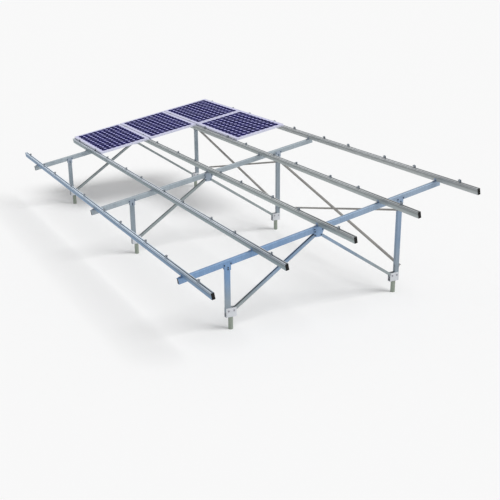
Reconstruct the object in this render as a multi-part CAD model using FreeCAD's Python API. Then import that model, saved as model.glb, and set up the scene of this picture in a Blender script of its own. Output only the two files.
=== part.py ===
import FreeCAD, Part
import math
import os
from FreeCAD import Vector

# Ground mount for framed photovoltaic modules, open bolted frame, in millimetres.
# Origin: bottom centre of the whole mount, at ground level.
# +X runs along the rails, +Y from the low front to the high rear, +Z up.
# A point of the sloping frame is given as (x, s, n): s runs up the rafter from its
# middle, and n stands square to the rafter, from its centre line.

# Bents: one bent is two posts, two braces and the rafter they carry
TILT = 10.2
BENT_SPACING = 3400.0
BENT_X = {"right": BENT_SPACING, "middle": 0.0, "left": -BENT_SPACING}
MID_HEIGHT = 1170.0

# Rafter: lipped channel, open to the left
RAFTER_LENGTH = 4160.0
RAFTER_WIDTH = 50.0
RAFTER_DEPTH = 80.0
RAFTER_LIP = 16.0
RAFTER_WALL = 3.0
BEND_RADIUS = 3.0

# Ground screws, cut at ground level
SCREW_RADIUS = 32.5
SCREW_WALL = 3.6
SCREW_TOP = 173.0
SCREW_CAP = 6.0
SCREW_Y = 1320.0

# Base clamps: channels open upward, each on one ground screw
CLAMP_LENGTH = 150.0
CLAMP_INSIDE = 50.0
CLAMP_HEIGHT = 130.0
CLAMP_WALL = 5.0
CLAMP_BOLT_RISE = 89.0
CLAMP_BOLT_STEP = 40.0

# Posts: rectangular tube, flush with the outer end of their base clamp, held by its bolts
POST_FOOT = 245.0
POST_WIDTH = 50.0
POST_DEPTH = 70.0
POST_WALL = 3.0
POST_CORNER = 5.0
POST_Y = 1360.0

# Braces: lipped channel, open side up, from base clamp to mid gusset
BRACE_DEPTH = 41.0
BRACE_WIDTH = 50.0
BRACE_LIP = 12.0
BRACE_WALL = 2.5
BRACE_TOP_Y = 62.0
BRACE_TOP_HEIGHT = 1077.0
BRACE_END = 30.0

# Plates that clasp the posts, the braces and the rafter from both sides
PLATE = 4.0
PLATE_CORNER = 10.0
HEAD_ON_POST = 42.0
HEAD_ON_RAFTER = 62.0
HEAD_SHOULDER = 14.0
HEAD_BELOW = 55.0
HEAD_ABOVE = 47.0
GUSSET_ON_RAFTER = 76.0
GUSSET_LOW_HALF = 46.0
GUSSET_ABOVE = 76.0
GUSSET_BELOW = 70.0

# Rails: slotted aluminium box section, standing square on the rafters. The slot is
# nearer the rear face, and a shallow groove runs along each side under the top.
RAIL_COUNT = 5
RAIL_PITCH = 1010.0
RAIL_FIRST = -1995.0
RAIL_LENGTH = 8530.0
RAIL_WIDTH = 45.0
RAIL_HEIGHT = 88.0
RAIL_WALL = 2.2
RAIL_LIP = 2.5
SLOT_WIDTH = 13.0
SLOT_FROM_FRONT = 20.0
SLOT_DEPTH = 11.0
SLOT_SIDE = 9.8
GROOVE_LOW = 66.0
GROOVE_HIGH = 78.0
GROOVE_DEPTH = 2.2
CAP_DEPTH = 6.0
CAP_INSET = 10.0

# Cleats: angles that hold each rail to each rafter, on the rail's front side
CLEAT_LEG = 40.0
CLEAT_WIDTH = 46.0
CLEAT_WALL = 4.0

# Cross braces: equal angles on the rear faces of the rear posts
ANGLE_LEG = 30.0
ANGLE_WALL = 3.0
ANGLE_HIGH = 1225.0
ANGLE_LOW = 395.0
ANGLE_END = 25.0
ANGLE_COPE = 70.0

# Modules: framed laminates, long side along X, each between the slots of two rails
MODULE_LENGTH = 1675.0
MODULE_WIDTH = 990.0
MODULE_HEIGHT = 35.0
COLUMN_PITCH = 1700.0
COLUMN_COUNT = 5
FRAME_WALL = 1.8
FRAME_FOOT = 30.0
FRAME_LIP = 11.0
FRAME_LIP_WALL = 1.5
LAMINATE = 4.5
MITRE_GAP = 0.2
JUNCTION_BOX = (110.0, 70.0, 20.0)
MODULES = {"a": (0, 1), "b": (0, 2), "c": (0, 3), "d": (1, 3)}

# Module clamps, two to a module on every rail, over the rail's slot: hat sections
# on the middle rails, and hooked end clamps on the first and the last
CLAMP_OFFSET = 490.0
HAT_LENGTH = 40.0
HAT_WIDTH = 38.0
HAT_BODY = 19.0
HAT_HEIGHT = 30.0
HAT_WALL = 2.5
END_CLAMP_WING = 8.0
END_CLAMP_BACK = 22.0
END_CLAMP_SHORT_LEG = 23.0
END_CLAMP_WALL = 3.0

RAFTER_TOP = RAFTER_DEPTH / 2
RAIL_TOP = RAFTER_TOP + RAIL_HEIGHT
SLOT_OFFSET = SLOT_FROM_FRONT + SLOT_WIDTH / 2 - RAIL_WIDTH / 2
MODULE_GAP = RAIL_PITCH - MODULE_WIDTH


def corner_arc(before, corner, after, radius):
    """Start, middle and end of the arc that rounds one corner of an outline."""
    back = before.sub(corner).normalize()
    ahead = after.sub(corner).normalize()
    half = back.getAngle(ahead) / 2
    reach = radius / math.tan(half)
    middle_way = back.add(ahead).normalize()
    to_arc = radius / math.sin(half) - radius
    return (corner.add(back.multiply(reach)),
            corner.add(middle_way.multiply(to_arc)),
            corner.add(ahead.multiply(reach)))


def outline(points, radii=None):
    """Closed wire through the points, each corner rounded to its radius."""
    radii = radii or [0.0] * len(points)
    stations = []
    for i, corner in enumerate(points):
        if radii[i] > 0:
            after = points[(i + 1) % len(points)]
            stations.append(corner_arc(points[i - 1], corner, after, radii[i]))
        else:
            stations.append((corner,))
    edges = []
    for i, station in enumerate(stations):
        if len(station) == 3:
            edges.append(Part.Arc(*station).toShape())
        start = station[-1]
        end = stations[(i + 1) % len(stations)][0]
        if start.distanceToPoint(end) > 1e-6:
            edges.append(Part.LineSegment(start, end).toShape())
    return Part.Wire(edges)


def slab(wires, along):
    """Solid between a flat outline, less any holes, and its copy moved along."""
    return Part.makeFace(wires, "Part::FaceMakerBullseye").extrude(along)


def rectangle(low_a, low_b, high_a, high_b):
    """Corners of a rectangle in two flat coordinates, in order."""
    return [(low_a, low_b), (high_a, low_b), (high_a, high_b), (low_a, high_b)]


def on_slope(shape):
    """Lay a shape drawn in (x, s, n) on the sloping frame."""
    shape.rotate(Vector(0, 0, 0), Vector(1, 0, 0), TILT)
    shape.translate(Vector(0, 0, MID_HEIGHT))
    return shape


def slope_point(s, n):
    """Place (y, z) of a point of the sloping frame."""
    angle = math.radians(TILT)
    y = s * math.cos(angle) - n * math.sin(angle)
    z = MID_HEIGHT + s * math.sin(angle) + n * math.cos(angle)
    return y, z


def underside_height(y):
    """Height of the rafter's underside over a place y on the ground."""
    angle = math.radians(TILT)
    return MID_HEIGHT + y * math.tan(angle) - RAFTER_DEPTH / 2 / math.cos(angle)


def channel_outline(width, depth, lip, wall):
    """Outline of a lipped channel as flat points and radii, open toward +a."""
    a = width / 2
    b = depth / 2
    points = [(-a, -b), (a, -b), (a, lip - b), (a - wall, lip - b),
              (a - wall, wall - b), (wall - a, wall - b), (wall - a, b - wall),
              (a - wall, b - wall), (a - wall, b - lip), (a, b - lip), (a, b), (-a, b)]
    outer = BEND_RADIUS + wall
    inner = BEND_RADIUS
    radii = [outer, outer, 0, 0, inner, inner, inner, inner, 0, 0, outer, outer]
    return points, radii


def ground_screw(x, y):
    """Upper end of a ground screw: tube with a welded top plate."""
    inside = SCREW_RADIUS - SCREW_WALL
    tube_top = SCREW_TOP - SCREW_CAP
    profile = [(inside, 0), (SCREW_RADIUS, 0), (SCREW_RADIUS, SCREW_TOP), (0, SCREW_TOP),
               (0, tube_top), (inside, tube_top)]
    face = Part.Face(outline([Vector(r, 0, z) for r, z in profile]))
    screw = face.revolve(Vector(0, 0, 0), Vector(0, 0, 1), 360)
    screw.translate(Vector(x, y, 0))
    return screw


def base_clamp(x, y):
    """Channel open upward that takes the foot of a post and of a brace."""
    half = CLAMP_INSIDE / 2
    outer = half + CLAMP_WALL
    bend = BEND_RADIUS + CLAMP_WALL
    profile = [(-outer, 0), (outer, 0), (outer, CLAMP_HEIGHT), (half, CLAMP_HEIGHT),
               (half, CLAMP_WALL), (-half, CLAMP_WALL), (-half, CLAMP_HEIGHT),
               (-outer, CLAMP_HEIGHT)]
    radii = [bend, bend, 0, 0, BEND_RADIUS, BEND_RADIUS, 0, 0]
    start = y - CLAMP_LENGTH / 2
    points = [Vector(x + a, start, SCREW_TOP + b) for a, b in profile]
    return slab(outline(points, radii), Vector(0, CLAMP_LENGTH, 0))


def post(x, y):
    """Rectangular tube between the base clamp's cheeks, up to the rafter's underside."""
    head = underside_height(y - POST_DEPTH / 2)
    wires = []
    for inset, radius in ((0, POST_CORNER), (POST_WALL, 0)):
        half_x = POST_WIDTH / 2 - inset
        half_y = POST_DEPTH / 2 - inset
        corners = rectangle(-half_x, -half_y, half_x, half_y)
        points = [Vector(x + a, y + b, POST_FOOT) for a, b in corners]
        wires.append(outline(points, [radius] * 4))
    return slab(wires, Vector(0, 0, head - POST_FOOT))


def rafter(x):
    """Lipped channel up the slope, its web to the right."""
    points, radii = channel_outline(RAFTER_WIDTH, RAFTER_DEPTH, RAFTER_LIP, RAFTER_WALL)
    start = -RAFTER_LENGTH / 2
    wire = outline([Vector(x - a, start, b) for a, b in points], radii)
    return on_slope(slab(wire, Vector(0, RAFTER_LENGTH, 0)))


def brace(x, side):
    """Lipped channel, open side up, from a base clamp to the mid gusset."""
    bottom = Vector(x, side * (SCREW_Y - CLAMP_BOLT_STEP), SCREW_TOP + CLAMP_BOLT_RISE)
    top = Vector(x, side * BRACE_TOP_Y, BRACE_TOP_HEIGHT)
    run = top.sub(bottom).normalize()
    up = run.cross(Vector(side, 0, 0))
    across = Vector(1, 0, 0)
    start = bottom.sub(Vector(run).multiply(BRACE_END))
    length = bottom.distanceToPoint(top) + 2 * BRACE_END
    points, radii = channel_outline(BRACE_DEPTH, BRACE_WIDTH, BRACE_LIP, BRACE_WALL)
    corners = [start + up * a + across * b for a, b in points]
    return slab(outline(corners, radii), run * length)


def plate_pair(x, shape_points):
    """Two like plates, one against each side of a rafter, their low corners round."""
    plates = []
    for inner in (x + RAFTER_WIDTH / 2, x - RAFTER_WIDTH / 2 - PLATE):
        points = [Vector(inner, y, z) for y, z in shape_points]
        wire = outline(points, [PLATE_CORNER] * 2 + [0] * (len(points) - 2))
        plates.append(slab(wire, Vector(PLATE, 0, 0)))
    return plates


def head_outline(y):
    """Post head plate, narrow on the post, with shoulders that widen it on the rafter."""
    angle = math.radians(TILT)
    s = (y - RAFTER_DEPTH / 2 * math.sin(angle)) / math.cos(angle)
    low = underside_height(y) - HEAD_BELOW
    bottom_n = -RAFTER_DEPTH / 2
    shoulder_n = bottom_n + HEAD_SHOULDER
    top_n = bottom_n + HEAD_ABOVE
    front, back = y - HEAD_ON_POST, y + HEAD_ON_POST
    return [(front, low), (back, low), (back, underside_height(back)),
            slope_point(s + HEAD_ON_RAFTER, shoulder_n), slope_point(s + HEAD_ON_RAFTER, top_n),
            slope_point(s - HEAD_ON_RAFTER, top_n), slope_point(s - HEAD_ON_RAFTER, shoulder_n),
            (front, underside_height(front))]


def gusset_outline():
    """Mid gusset plate, from near the rafter's top down over both brace ends."""
    bottom_n = -RAFTER_DEPTH / 2
    top_n = bottom_n + GUSSET_ABOVE
    low = MID_HEIGHT + bottom_n - GUSSET_BELOW
    return [(-GUSSET_LOW_HALF, low), (GUSSET_LOW_HALF, low),
            slope_point(GUSSET_ON_RAFTER, bottom_n), slope_point(GUSSET_ON_RAFTER, top_n),
            slope_point(-GUSSET_ON_RAFTER, top_n), slope_point(-GUSSET_ON_RAFTER, bottom_n)]


def rail_places():
    """Places s of the rail centres up the slope."""
    return [RAIL_FIRST + RAIL_PITCH * i for i in range(RAIL_COUNT)]


def chamber_points():
    """Closed chamber of the rail section, below the slot and in front of it."""
    side = RAIL_WIDTH / 2 - RAIL_WALL
    jog = side - GROOVE_DEPTH
    jog_low = GROOVE_LOW - RAIL_WALL
    jog_high = GROOVE_HIGH + RAIL_WALL
    under_lip = RAIL_HEIGHT - RAIL_LIP
    floor = under_lip - SLOT_DEPTH - RAIL_WALL
    partition = SLOT_FROM_FRONT - RAIL_WIDTH / 2 - SLOT_SIDE - RAIL_WALL
    return [(-side, RAIL_WALL), (side, RAIL_WALL), (side, jog_low), (jog, jog_low),
            (jog, floor), (partition, floor), (partition, under_lip), (-side, under_lip),
            (-side, jog_high), (-jog, jog_high), (-jog, jog_low), (-side, jog_low)]


def rail_points():
    """Outside of the rail section, with the bolt slot and both side grooves."""
    half = RAIL_WIDTH / 2
    groove = half - GROOVE_DEPTH
    rear = half - RAIL_WALL
    mouth = SLOT_FROM_FRONT - half
    under_lip = RAIL_HEIGHT - RAIL_LIP
    floor = under_lip - SLOT_DEPTH
    jog_high = GROOVE_HIGH + RAIL_WALL
    return [(-half, 0), (half, 0), (half, GROOVE_LOW), (groove, GROOVE_LOW),
            (groove, GROOVE_HIGH), (half, GROOVE_HIGH), (half, RAIL_HEIGHT),
            (mouth + SLOT_WIDTH, RAIL_HEIGHT), (mouth + SLOT_WIDTH, under_lip),
            (rear, under_lip), (rear, jog_high), (rear - GROOVE_DEPTH, jog_high),
            (rear - GROOVE_DEPTH, floor), (mouth - SLOT_SIDE, floor),
            (mouth - SLOT_SIDE, under_lip), (mouth, under_lip), (mouth, RAIL_HEIGHT),
            (-half, RAIL_HEIGHT), (-half, GROOVE_HIGH), (-groove, GROOVE_HIGH),
            (-groove, GROOVE_LOW), (-half, GROOVE_LOW)]


def rail(s):
    """Box section with a bolt slot in its top, along X."""
    start = -RAIL_LENGTH / 2
    wires = []
    for flat in (rail_points(), chamber_points()):
        wires.append(outline([Vector(start, s + a, RAFTER_TOP + b) for a, b in flat]))
    return on_slope(slab(wires, Vector(RAIL_LENGTH, 0, 0)))


def end_caps(s):
    """Plugs in both ends of a rail's chamber, set back from the cut."""
    caps = []
    inset = RAIL_LENGTH / 2 - CAP_INSET
    for start in (-inset, inset - CAP_DEPTH):
        points = [Vector(start, s + a, RAFTER_TOP + b) for a, b in chamber_points()]
        caps.append(on_slope(slab(outline(points), Vector(CAP_DEPTH, 0, 0))))
    return caps


def angle_points(leg, wall):
    """Equal angle with its heel at the origin, legs along +a and +b."""
    return [(0, 0), (leg, 0), (leg, wall), (wall, wall), (wall, leg), (0, leg)]


def cleat(x, s):
    """Angle on the rafter's top, against the front face of a rail."""
    heel = s - RAIL_WIDTH / 2
    start = x - CLEAT_WIDTH / 2
    profile = angle_points(CLEAT_LEG, CLEAT_WALL)
    points = [Vector(start, heel - a, RAFTER_TOP + b) for a, b in profile]
    return on_slope(slab(outline(points), Vector(CLEAT_WIDTH, 0, 0)))


def cross_brace(x_high, x_low, inner):
    """Angle from the head of one rear post to the foot of the next.

    The inner bar lies on the posts with its free leg to the front, cut away at the
    ends to pass the posts. The outer bar lies on the inner one, free leg to the rear.
    """
    rear_face = POST_Y + POST_DEPTH / 2
    low = Vector(x_low, rear_face + ANGLE_WALL, ANGLE_LOW)
    high = Vector(x_high, rear_face + ANGLE_WALL, ANGLE_HIGH)
    run = high.sub(low).normalize()
    upward = Vector(-run.z, 0, run.x)
    if upward.z < 0:
        upward = upward.multiply(-1)
    out = Vector(0, -1 if inner else 1, 0)
    start = low - run * ANGLE_END + upward * (ANGLE_LEG / 2)
    length = low.distanceToPoint(high) + 2 * ANGLE_END
    flat_leg = [start, start + out * ANGLE_WALL, start + out * ANGLE_WALL - upward * ANGLE_LEG,
                start - upward * ANGLE_LEG]
    bar = slab(outline(flat_leg), run * length)
    cope = ANGLE_COPE if inner else 0.0
    free_start = start + run * cope
    free_leg = [free_start, free_start + out * ANGLE_LEG,
                free_start + out * ANGLE_LEG - upward * ANGLE_WALL,
                free_start - upward * ANGLE_WALL]
    bar = bar.fuse(slab(outline(free_leg), run * (length - 2 * cope)))
    return bar.removeSplitter()


def module_centre(column, bay):
    """Place (x, s) of the middle of a module in its column and bay."""
    x = -BENT_SPACING + COLUMN_PITCH * column
    return x, RAIL_FIRST + SLOT_OFFSET + RAIL_PITCH * (bay + 0.5)


def frame_bar(half_run, half_reach):
    """One side of a module frame along X, mitred at both ends, at -s."""
    ledge = MODULE_HEIGHT - FRAME_LIP_WALL - LAMINATE
    profile = [(0, 0), (FRAME_FOOT, 0), (FRAME_FOOT, FRAME_LIP_WALL),
               (FRAME_WALL, FRAME_LIP_WALL), (FRAME_WALL, ledge - FRAME_LIP_WALL),
               (FRAME_LIP, ledge - FRAME_LIP_WALL), (FRAME_LIP, ledge), (FRAME_WALL, ledge),
               (FRAME_WALL, MODULE_HEIGHT - FRAME_LIP_WALL),
               (FRAME_LIP, MODULE_HEIGHT - FRAME_LIP_WALL), (FRAME_LIP, MODULE_HEIGHT),
               (0, MODULE_HEIGHT)]
    points = [Vector(-half_run, a - half_reach, b) for a, b in profile]
    bar = slab(outline(points), Vector(2 * half_run, 0, 0))
    keep_half = half_run - MITRE_GAP
    keep = [Vector(-keep_half, -half_reach, 0), Vector(keep_half, -half_reach, 0),
            Vector(keep_half - FRAME_FOOT, FRAME_FOOT - half_reach, 0),
            Vector(FRAME_FOOT - keep_half, FRAME_FOOT - half_reach, 0)]
    return bar.common(slab(outline(keep), Vector(0, 0, MODULE_HEIGHT)))


def module_frame(column, bay):
    """Four mitred bars round one laminate."""
    x, s = module_centre(column, bay)
    bars = []
    for turn in range(4):
        sizes = (MODULE_LENGTH / 2, MODULE_WIDTH / 2)
        bar = frame_bar(*(sizes if turn % 2 == 0 else sizes[::-1]))
        bar.rotate(Vector(0, 0, 0), Vector(0, 0, 1), 90 * turn)
        bar.translate(Vector(x, s, RAIL_TOP))
        bars.append(on_slope(bar))
    return bars


def laminate(column, bay):
    """Glass, cells and back sheet in one plate, held in the frame's groove."""
    x, s = module_centre(column, bay)
    half_x = MODULE_LENGTH / 2 - FRAME_WALL
    half_s = MODULE_WIDTH / 2 - FRAME_WALL
    ledge = RAIL_TOP + MODULE_HEIGHT - FRAME_LIP_WALL - LAMINATE
    corners = rectangle(x - half_x, s - half_s, x + half_x, s + half_s)
    wire = outline([Vector(a, b, ledge) for a, b in corners])
    return on_slope(slab(wire, Vector(0, 0, LAMINATE)))


def junction_box(column, bay):
    """Closed box under the back sheet, near the module's upper edge."""
    x, s = module_centre(column, bay)
    length, width, depth = JUNCTION_BOX
    ledge = RAIL_TOP + MODULE_HEIGHT - FRAME_LIP_WALL - LAMINATE
    start = s + MODULE_WIDTH / 2 - 2 * width
    corners = rectangle(x - length / 2, start - width / 2, x + length / 2, start + width / 2)
    wire = outline([Vector(a, b, ledge - depth) for a, b in corners])
    return on_slope(slab(wire, Vector(0, 0, depth)))


def clamp_lift(column, rail_index):
    """How far a module clamp is raised: onto a frame's top, or not at all."""
    held = any((column, bay) in MODULES.values() for bay in (rail_index - 1, rail_index))
    return MODULE_HEIGHT + HAT_WALL - HAT_HEIGHT if held else 0.0


def hat_clamp(x, s, lift):
    """Hat section over a rail's slot, its wings on the module frames beside it."""
    body = HAT_BODY / 2
    wing = HAT_WIDTH / 2
    inside = body - HAT_WALL
    shoulder = HAT_HEIGHT - HAT_WALL
    profile = [(-body, 0), (body, 0), (body, shoulder), (wing, shoulder), (wing, HAT_HEIGHT),
               (inside, HAT_HEIGHT), (inside, HAT_WALL), (-inside, HAT_WALL),
               (-inside, HAT_HEIGHT), (-wing, HAT_HEIGHT), (-wing, shoulder), (-body, shoulder)]
    start = x - HAT_LENGTH / 2
    points = [Vector(start, s + a, RAIL_TOP + lift + b) for a, b in profile]
    return on_slope(slab(outline(points), Vector(HAT_LENGTH, 0, 0)))


def end_clamp(x, s, outward):
    """Hooked clamp at the array's edge: a leg on the rail, a wing on the frame.

    outward is 1 on the last rail and -1 on the first, away from the modules.
    """
    edge = s - outward * MODULE_GAP / 2
    top = MODULE_HEIGHT + END_CLAMP_WALL
    back = END_CLAMP_BACK
    short = MODULE_HEIGHT - END_CLAMP_SHORT_LEG
    near = 1.0
    profile = [(-END_CLAMP_WING, MODULE_HEIGHT), (near, MODULE_HEIGHT), (near, short),
               (near + END_CLAMP_WALL, short), (near + END_CLAMP_WALL, MODULE_HEIGHT),
               (back - END_CLAMP_WALL, MODULE_HEIGHT), (back - END_CLAMP_WALL, 0), (back, 0),
               (back, top), (-END_CLAMP_WING, top)]
    start = x - HAT_LENGTH / 2
    points = [Vector(start, edge + outward * a, RAIL_TOP + b) for a, b in profile]
    return on_slope(slab(outline(points), Vector(HAT_LENGTH, 0, 0)))


def rail_clamps(rail_index):
    """All module clamps of one rail, also those with no module yet."""
    s = rail_places()[rail_index] + SLOT_OFFSET
    found = []
    for column in range(COLUMN_COUNT):
        for side in (-1, 1):
            x = -BENT_SPACING + COLUMN_PITCH * column + side * CLAMP_OFFSET
            if rail_index == 0:
                found.append(end_clamp(x, s, -1))
            elif rail_index == RAIL_COUNT - 1:
                found.append(end_clamp(x, s, 1))
            else:
                found.append(hat_clamp(x, s, clamp_lift(column, rail_index)))
    return found


def save(node, solids):
    """Write one node's solids to its file and say what it holds."""
    if not isinstance(solids, list):
        solids = [solids]
    for solid in solids:
        if not solid.isValid() or solid.Volume <= 0:
            raise ValueError("bad solid in " + node)
    shape = solids[0] if len(solids) == 1 else Part.makeCompound(solids)
    shape.exportStep("parts/" + node + ".step")
    print(node, len(solids), "solids", round(shape.Volume / 1e6, 3), "litres")


os.makedirs("parts", exist_ok=True)

for name, x in BENT_X.items():
    feet = [base_clamp(x, side * SCREW_Y) for side in (-1, 1)]
    save("base_clamps_" + name, feet)
    save("front_post_" + name, post(x, -POST_Y))
    save("rear_post_" + name, post(x, POST_Y))
    save("rafter_" + name, rafter(x))
    save("front_brace_" + name, brace(x, -1))
    save("rear_brace_" + name, brace(x, 1))
    heads = plate_pair(x, head_outline(-POST_Y)) + plate_pair(x, head_outline(POST_Y))
    save("post_heads_" + name, heads)

screws = [ground_screw(x, side * SCREW_Y) for x in BENT_X.values() for side in (-1, 1)]
save("ground_screws", screws)
gussets = [plate for x in BENT_X.values() for plate in plate_pair(x, gusset_outline())]
save("mid_gussets", gussets)

for i, s in enumerate(rail_places()):
    save("rail_" + str(i + 1), rail(s))
save("rail_end_caps", [cap for s in rail_places() for cap in end_caps(s)])
save("rail_cleats", [cleat(x, s) for x in BENT_X.values() for s in rail_places()])

save("cross_brace_right_inner", cross_brace(BENT_X["right"], BENT_X["middle"], True))
save("cross_brace_right_outer", cross_brace(BENT_X["middle"], BENT_X["right"], False))
save("cross_brace_left_inner", cross_brace(BENT_X["middle"], BENT_X["left"], True))
save("cross_brace_left_outer", cross_brace(BENT_X["left"], BENT_X["middle"], False))

for name, place in MODULES.items():
    save("module_frame_" + name, module_frame(*place))
    save("module_laminate_" + name, laminate(*place))
save("junction_boxes", [junction_box(*place) for place in MODULES.values()])

save("module_clamps", [clamp for i in range(RAIL_COUNT) for clamp in rail_clamps(i)])
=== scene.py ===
# %% [markdown]
# # A ground mount for solar modules
#
# The object is an open steel frame that stands on ground screws. Three bents, each of
# two posts, two braces and a sloping rafter, carry five aluminium rails, and the first
# four framed modules lie on the rails at the far end. The construction comes finished
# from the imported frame. This lesson gives every piece its finish, and adds the small
# things that the construction leaves out: bolts, nuts, washers, plates over the cut ends
# and boxes with lids.

# %% Load the frame
import math

import bmesh
import bpy
from mathutils import Matrix, Vector


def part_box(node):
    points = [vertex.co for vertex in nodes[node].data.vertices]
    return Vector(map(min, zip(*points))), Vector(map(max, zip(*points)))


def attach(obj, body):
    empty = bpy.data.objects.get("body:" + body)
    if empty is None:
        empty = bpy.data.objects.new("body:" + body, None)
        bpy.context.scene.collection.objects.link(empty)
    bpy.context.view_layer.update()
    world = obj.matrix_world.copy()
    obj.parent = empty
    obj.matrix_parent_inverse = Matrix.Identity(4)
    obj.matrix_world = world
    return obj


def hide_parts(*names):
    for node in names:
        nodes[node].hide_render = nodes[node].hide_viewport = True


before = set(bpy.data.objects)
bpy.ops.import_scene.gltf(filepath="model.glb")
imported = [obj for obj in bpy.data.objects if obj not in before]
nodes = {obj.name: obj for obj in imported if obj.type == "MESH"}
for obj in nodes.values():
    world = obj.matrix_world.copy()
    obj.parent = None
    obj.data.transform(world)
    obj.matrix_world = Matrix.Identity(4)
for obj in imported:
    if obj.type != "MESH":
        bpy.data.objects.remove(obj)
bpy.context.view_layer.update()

# %% [markdown]
# ## Places on the frame
#
# Everything on the slope is easiest to place in three steps: x along the rails, s up
# the rafters from their middle, and n square to the rafters from their centre line. A
# point could be measured for each bolt by hand, but then a change of the frame would
# leave the bolts behind. So the slope is worked out from the rails' own boxes.

# %% The slope and the places of the bents and rails
BENTS = ("right", "middle", "left")
RAIL_COUNT = 5
RAFTER_DEPTH = 0.080
RAIL_HEIGHT = 0.088
RAIL_WIDTH = 0.045


def middle_of(node):
    """Centre of a node's box."""
    low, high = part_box(node)
    return (low + high) / 2


bent_x = {bent: middle_of("rafter_" + bent).x for bent in BENTS}
first_rail = middle_of("rail_1")
last_rail = middle_of("rail_" + str(RAIL_COUNT))
climb = last_rail - first_rail
tilt = math.atan2(climb.z, climb.y)
slope_origin = middle_of("rafter_middle")
up_slope = Vector((0.0, math.cos(tilt), math.sin(tilt)))
off_slope = Vector((0.0, -math.sin(tilt), math.cos(tilt)))
rail_top = RAFTER_DEPTH / 2 + RAIL_HEIGHT


def on_slope(x, s, n):
    """Point of the sloping frame, in metres."""
    return Vector((x, 0.0, slope_origin.z)) + up_slope * s + off_slope * n


rail_s = [(middle_of("rail_" + str(i + 1)) - slope_origin).dot(up_slope)
          for i in range(RAIL_COUNT)]
rail_pitch = rail_s[1] - rail_s[0]
print("tilt", round(math.degrees(tilt), 2), "rail pitch", round(rail_pitch, 4))

# %% [markdown]
# ## Camera
#
# The photograph looks down on the near right corner with a short telephoto lens. Three
# turns set such a camera: the yaw turns it about the upright, the pitch tips it down,
# and the small roll tilts the horizon. They came from fitting the straight edges of the
# rails, rafters and posts, so that the rendered frame lies on the photographed one.

# %% Camera at the photograph's place
CAMERA_PLACE = Vector((12.377, -5.8405, 4.600))
CAMERA_YAW = 1.0785
CAMERA_PITCH = 0.3362
CAMERA_ROLL = -0.0066
CAMERA_LENS = 60.32

camera_data = bpy.data.cameras.new("camera")
camera_data.lens = CAMERA_LENS
camera_data.sensor_width = 36.0
camera_data.clip_end = 200.0
camera = bpy.data.objects.new("camera", camera_data)
bpy.context.scene.collection.objects.link(camera)
camera.matrix_world = (Matrix.Translation(CAMERA_PLACE)
                       @ Matrix.Rotation(CAMERA_YAW, 4, "Z")
                       @ Matrix.Rotation(math.pi / 2 - CAMERA_PITCH, 4, "X")
                       @ Matrix.Rotation(CAMERA_ROLL, 4, "Z"))
bpy.context.scene.camera = camera
print("camera", [round(v, 2) for v in camera.location], "lens", CAMERA_LENS)

# %% [markdown]
# ## Shader maths in plain Python
#
# A material is a net of nodes, and a formula such as 1 - mask * 0.5 would need three of
# them, wired by hand. A small class can stand for one wire instead: its operators add
# the Math nodes, so a formula in a material reads like a formula. A second class holds
# the net and adds any other node through one method.

# %% Wires and nets
class Wire:
    """One number or colour on its way through a net of nodes."""

    def __init__(self, net, socket):
        self.net = net
        self.socket = socket

    def part(self, name):
        """Another output of the node that this wire comes from."""
        return Wire(self.net, self.socket.node.outputs[name])

    def maths(self, operation, *others):
        """The outcome of a Math node with this wire as its first value."""
        values = dict(enumerate((self,) + others))
        return self.net.node("ShaderNodeMath", {"operation": operation}, values)

    def __add__(self, other):
        return self.maths("ADD", other)

    def __sub__(self, other):
        return self.maths("SUBTRACT", other)

    def __rsub__(self, other):
        return self.net.node("ShaderNodeMath", {"operation": "SUBTRACT"}, {0: other, 1: self})

    def __mul__(self, other):
        return self.maths("MULTIPLY", other)

    def __truediv__(self, other):
        return self.maths("DIVIDE", other)

    __radd__ = __add__
    __rmul__ = __mul__

    def size(self):
        """The number without its sign."""
        return self.maths("ABSOLUTE")

    def under(self, edge):
        """1 where the number is below the edge, and 0 elsewhere."""
        return self.maths("LESS_THAN", edge)

    def wrapped(self, period):
        """The number counted again from 0 after each period."""
        return (self / period).maths("FRACT") * period

    def stepped(self, low, high):
        """0 below low and 1 above high, with a smooth rise between."""
        limits = {"From Min": low, "From Max": high, "Value": self}
        return self.net.node("ShaderNodeMapRange", {"interpolation_type": "SMOOTHSTEP"}, limits)


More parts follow.
